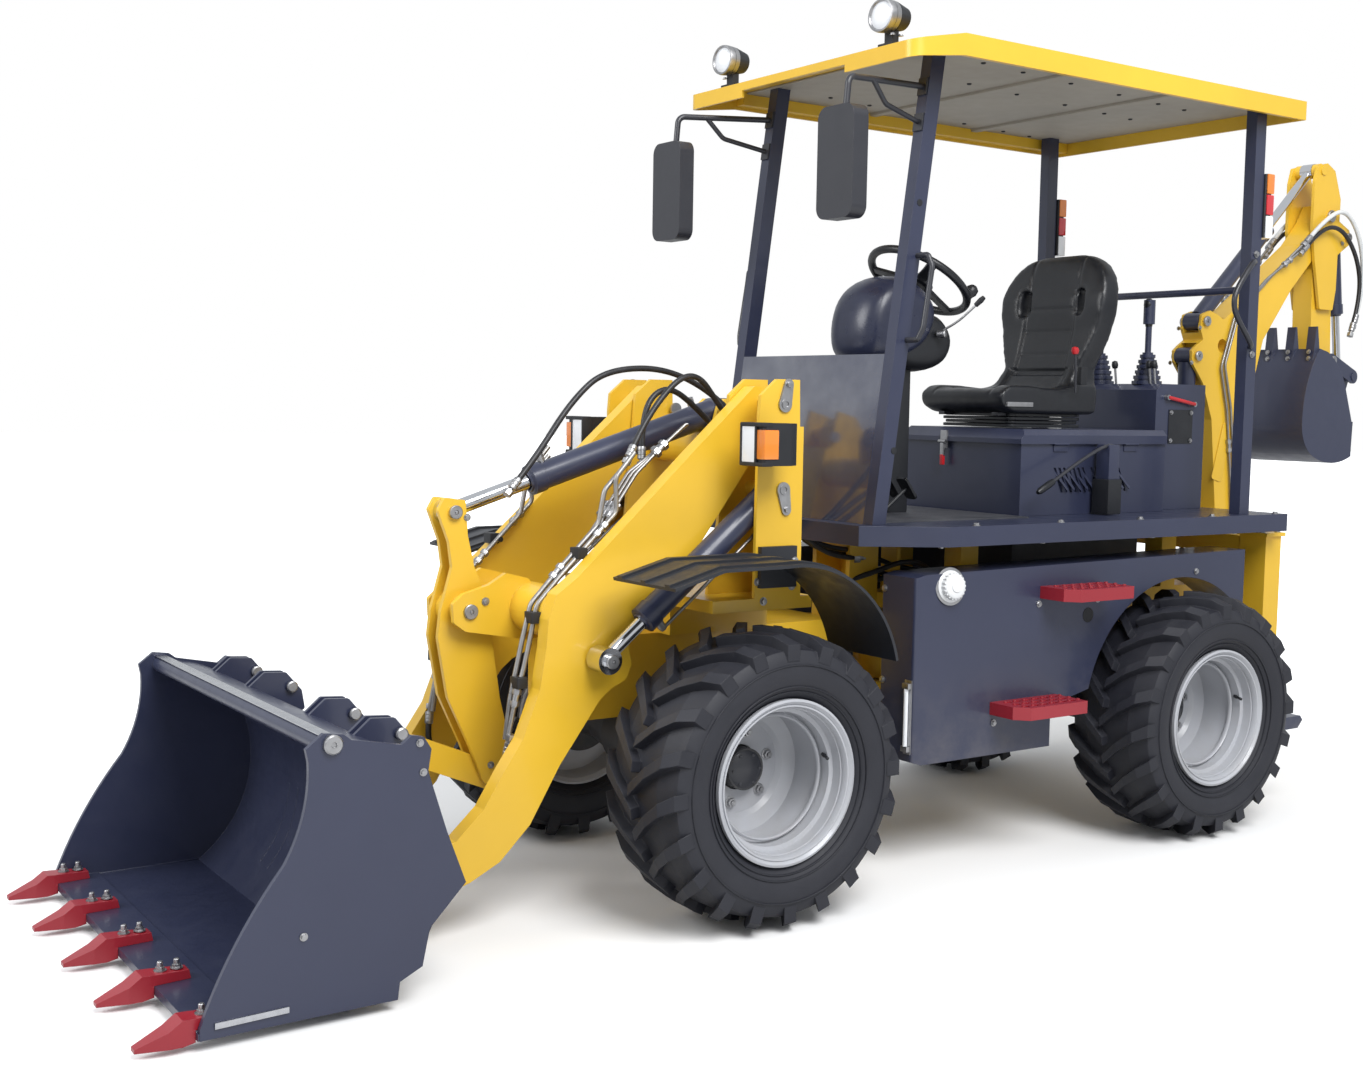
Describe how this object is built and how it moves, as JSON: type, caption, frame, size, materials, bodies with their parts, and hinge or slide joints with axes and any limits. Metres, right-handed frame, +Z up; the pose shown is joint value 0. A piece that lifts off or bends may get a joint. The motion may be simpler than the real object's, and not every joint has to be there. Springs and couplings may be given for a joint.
{
  "type": "backhoe loader",
  "caption": "Compact articulated backhoe loader: front bucket on lift arms, open canopy and a folded digging arm at the rear.",
  "frame": {"origin": "middle of the machine's length and width, on the ground", "axes": "+X forward towards the loader bucket, +Y to the operator's left, +Z up"},
  "size_m": [5.869, 1.6606, 2.982],
  "materials": {
    "slate_paint": "satin",
    "yellow_paint": "satin",
    "red_paint": "satin",
    "rim_paint": "satin",
    "black_paint": "satin",
    "dark_iron": "matte",
    "tyre_rubber": "matte",
    "black_plastic": "textured",
    "lamp_lens": "gloss",
    "rod_chrome": "polished"
  },
  "bodies": {
    "rear_frame": {"rear_chassis": "yellow_paint", "side_tanks": "slate_paint", "rear_axle": "dark_iron", "steps": "red_paint", "platform": "slate_paint", "dash": "slate_paint", "canopy_frame": "slate_paint", "roof": "yellow_paint", "engine_block": "dark_iron", "seat_box": "slate_paint", "seat": "black_plastic", "steering_column": "black_paint", "backhoe_console": "slate_paint", "lamps": "lamp_lens", "mirrors_and_rails": "black_paint", "slide_frame": "yellow_paint"},
    "front_frame": {"front_chassis": "yellow_paint", "front_axle": "dark_iron", "fenders": "black_plastic", "head_lamps": "lamp_lens"},
    "wheel_front_left": {"tyre_front_left": "tyre_rubber", "rim_front_left": "rim_paint"},
    "wheel_front_right": {"tyre_front_right": "tyre_rubber", "rim_front_right": "rim_paint"},
    "wheel_rear_left": {"tyre_rear_left": "tyre_rubber", "rim_rear_left": "rim_paint"},
    "wheel_rear_right": {"tyre_rear_right": "tyre_rubber", "rim_rear_right": "rim_paint"},
    "lift_arm": {"loader_arms": "yellow_paint"},
    "lift_barrel": {"lift_barrels": "slate_paint"},
    "lift_rod": {"lift_rods": "rod_chrome"},
    "crank": {"bellcrank": "yellow_paint"},
    "link": {"tilt_link": "yellow_paint"},
    "tilt_barrel_body": {"tilt_barrel": "slate_paint"},
    "tilt_rod_body": {"tilt_rod": "rod_chrome"},
    "bucket": {"loader_bucket": "slate_paint", "bucket_teeth": "red_paint"},
    "swing": {"swing_post": "yellow_paint"},
    "boom_body": {"boom": "yellow_paint"},
    "boom_barrel_body": {"boom_barrel": "slate_paint"},
    "boom_rod_body": {"boom_rod": "rod_chrome"},
    "stick_body": {"stick": "yellow_paint"},
    "stick_barrel_body": {"stick_barrel": "slate_paint"},
    "stick_rod_body": {"stick_rod": "rod_chrome"},
    "dig": {"dig_bucket": "slate_paint"},
    "rocker": {"dig_rocker": "slate_paint"},
    "dig_link_body": {"dig_link": "slate_paint"},
    "dig_barrel_body": {"dig_barrel": "slate_paint"},
    "dig_rod_body": {"dig_rod": "rod_chrome"},
    "stabiliser_left": {"stabiliser_leg_left": "slate_paint"},
    "stabiliser_right": {"stabiliser_leg_right": "slate_paint"}
  },
  "joints": [
    {"name": "articulation", "type": "hinge", "parent": "rear_frame", "child": "front_frame", "pos_m": [-0.0405, 0, 0.7], "axis": [0, 0, 1], "range_deg": [-32, 32]},
    {"name": "spin_front_left", "type": "hinge", "parent": "front_frame", "child": "wheel_front_left", "pos_m": [0.9935, 0.633, 0.47], "axis": [0, 1, 0], "continuous": true},
    {"name": "spin_front_right", "type": "hinge", "parent": "front_frame", "child": "wheel_front_right", "pos_m": [0.9935, -0.633, 0.47], "axis": [0, 1, 0], "continuous": true},
    {"name": "spin_rear_left", "type": "hinge", "parent": "rear_frame", "child": "wheel_rear_left", "pos_m": [-1.0745, 0.633, 0.47], "axis": [0, 1, 0], "continuous": true},
    {"name": "spin_rear_right", "type": "hinge", "parent": "rear_frame", "child": "wheel_rear_right", "pos_m": [-1.0745, -0.633, 0.47], "axis": [0, 1, 0], "continuous": true},
    {"name": "lift", "type": "hinge", "parent": "front_frame", "child": "lift_arm", "pos_m": [0.7895, 0, 1.632], "axis": [0, -1, 0], "range_deg": [0, 80]},
    {"name": "lift_barrel_pivot", "type": "hinge", "parent": "front_frame", "child": "lift_barrel", "pos_m": [0.7895, 0, 1.353], "axis": [0, -1, 0], "range_deg": [-0.2, 82.32]},
    {"name": "lift_rod_slide", "type": "slide", "parent": "lift_barrel", "child": "lift_rod", "axis": [0.7721, 0, -0.6355], "range_m": [-0.001, 0.3584]},
    {"name": "bucket_tilt", "type": "hinge", "parent": "lift_arm", "child": "bucket", "pos_m": [2.0095, 0, 0.2], "axis": [0, 1, 0], "range_deg": [-40, 75]},
    {"name": "crank_pivot", "type": "hinge", "parent": "lift_arm", "child": "crank", "pos_m": [1.7245, 0, 0.963], "axis": [0, 1, 0], "range_deg": [-27.35, 14.68]},
    {"name": "link_pivot", "type": "hinge", "parent": "bucket", "child": "link", "pos_m": [2.0295, 0, 0.585], "axis": [0, 1, 0], "range_deg": [-60.58, 32.4]},
    {"name": "tilt_barrel_pivot", "type": "hinge", "parent": "front_frame", "child": "tilt_barrel_body", "pos_m": [0.7245, 0, 1.608], "axis": [0, -1, 0], "range_deg": [-0.2, 74.15]},
    {"name": "tilt_rod_slide", "type": "slide", "parent": "tilt_barrel_body", "child": "tilt_rod_body", "axis": [0.9516, 0, -0.3074], "range_m": [-0.1346, 0.0723]},
    {"name": "swing", "type": "hinge", "parent": "rear_frame", "child": "swing", "pos_m": [-1.8905, 0, 0.7], "axis": [0, 0, 1], "range_deg": [-80, 80]},
    {"name": "boom_lower", "type": "hinge", "parent": "swing", "child": "boom_body", "pos_m": [-2.0605, 0, 0.7], "axis": [0, -1, 0], "range_deg": [0, 100]},
    {"name": "boom_barrel_pivot", "type": "hinge", "parent": "boom_body", "child": "boom_barrel_body", "pos_m": [-1.7935, 0, 1.877], "axis": [0, -1, 0], "range_deg": [-0.2, 0.99]},
    {"name": "boom_rod_slide", "type": "slide", "parent": "boom_barrel_body", "child": "boom_rod_body", "axis": [-0.0378, 0, -0.9993], "range_m": [-0.001, 0.4714]},
    {"name": "stick_open", "type": "hinge", "parent": "boom_body", "child": "stick_body", "pos_m": [-2.6755, 0, 2.55], "axis": [0, 1, 0], "range_deg": [0, 95]},
    {"name": "stick_barrel_pivot", "type": "hinge", "parent": "boom_body", "child": "stick_barrel_body", "pos_m": [-1.8405, 0, 2.03], "axis": [0, 1, 0], "range_deg": [-5.3, 0.2]},
    {"name": "stick_rod_slide", "type": "slide", "parent": "stick_barrel_body", "child": "stick_rod_body", "axis": [-0.7281, 0, 0.6855], "range_m": [-0.3053, 0.001]},
    {"name": "dig_open", "type": "hinge", "parent": "stick_body", "child": "dig", "pos_m": [-2.7555, 0, 1.7], "axis": [0, 1, 0], "range_deg": [0, 130]},
    {"name": "rocker_pivot", "type": "hinge", "parent": "stick_body", "child": "rocker", "pos_m": [-2.7245, 0, 1.886], "axis": [0, 1, 0], "range_deg": [-0.2, 84.99]},
    {"name": "dig_link_pivot", "type": "hinge", "parent": "rocker", "child": "dig_link_body", "pos_m": [-2.9025, 0, 1.813], "axis": [0, 1, 0], "range_deg": [-62.56, 0.2]},
    {"name": "dig_barrel_pivot", "type": "hinge", "parent": "stick_body", "child": "dig_barrel_body", "pos_m": [-2.8165, 0, 2.463], "axis": [0, 1, 0], "range_deg": [-3.06, 0.2]},
    {"name": "dig_rod_slide", "type": "slide", "parent": "dig_barrel_body", "child": "dig_rod_body", "axis": [-0.1312, 0, -0.9914], "range_m": [-0.2574, 0.001]},
    {"name": "stabiliser_left", "type": "slide", "parent": "rear_frame", "child": "stabiliser_left", "axis": [0, 0, -1], "range_m": [0, 0.42]},
    {"name": "stabiliser_right", "type": "slide", "parent": "rear_frame", "child": "stabiliser_right", "axis": [0, 0, -1], "range_m": [0, 0.42]}
  ],
  "couplings": [
    {"joint": "lift_barrel_pivot", "follows": "lift", "ratio": 1.0265},
    {"joint": "lift_rod_slide", "follows": "lift", "m_per_rad": 0.256},
    {"joint": "crank_pivot", "follows": "bucket_tilt", "ratio": -0.362},
    {"joint": "link_pivot", "follows": "bucket_tilt", "ratio": -0.805},
    {"joint": "tilt_barrel_pivot", "follows": "lift", "ratio": 0.9244},
    {"joint": "tilt_rod_slide", "follows": "bucket_tilt", "m_per_rad": -0.1021},
    {"joint": "boom_barrel_pivot", "follows": "boom_lower", "ratio": 0.0079},
    {"joint": "boom_rod_slide", "follows": "boom_lower", "m_per_rad": 0.2695},
    {"joint": "stick_barrel_pivot", "follows": "stick_open", "ratio": -0.0537},
    {"joint": "stick_rod_slide", "follows": "stick_open", "m_per_rad": -0.1835},
    {"joint": "rocker_pivot", "follows": "dig_open", "ratio": 0.6522},
    {"joint": "dig_link_pivot", "follows": "dig_open", "ratio": -0.4797},
    {"joint": "dig_barrel_pivot", "follows": "dig_open", "ratio": -0.022},
    {"joint": "dig_rod_slide", "follows": "dig_open", "m_per_rad": -0.113}
  ]
}
